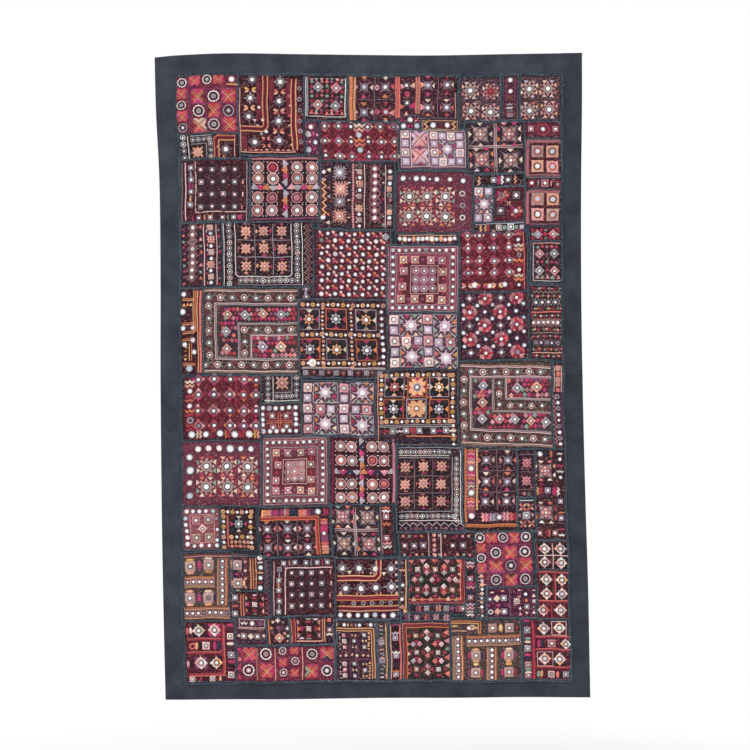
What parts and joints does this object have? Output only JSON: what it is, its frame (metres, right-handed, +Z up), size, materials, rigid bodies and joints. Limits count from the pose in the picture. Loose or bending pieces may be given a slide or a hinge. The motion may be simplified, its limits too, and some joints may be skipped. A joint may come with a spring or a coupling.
{
  "type": "embroidered wall tapestry",
  "caption": "Flat patchwork wall hanging: a mirror-worked embroidered panel framed by plain cotton border strips, held at its top edge.",
  "frame": {"origin": "middle of the top edge, on the back face that lies against the wall", "axes": "+Z up, +X to the right as the hanging is looked at, and its face looks along -Y"},
  "size_m": [1.027, 0.0094, 1.525],
  "materials": {
    "patchwork": "dark cotton patches worked edge to edge in silk floss",
    "border_cotton": "plain-woven slate cotton, pressed and matt",
    "embroidery_floss": "soft sheen of satin and chain stitch",
    "shisha_mirror": "small silvered glass discs",
    "couching_yarn": "fuzzy teal-grey yarn over the patch joins"
  },
  "bodies": {
    "root": {"patchwork_panel": "patchwork", "border_top": "border_cotton", "border_bottom": "border_cotton", "border_left": "border_cotton", "border_right_upper": "border_cotton", "border_right_lower": "border_cotton"}
  },
  "joints": []
}
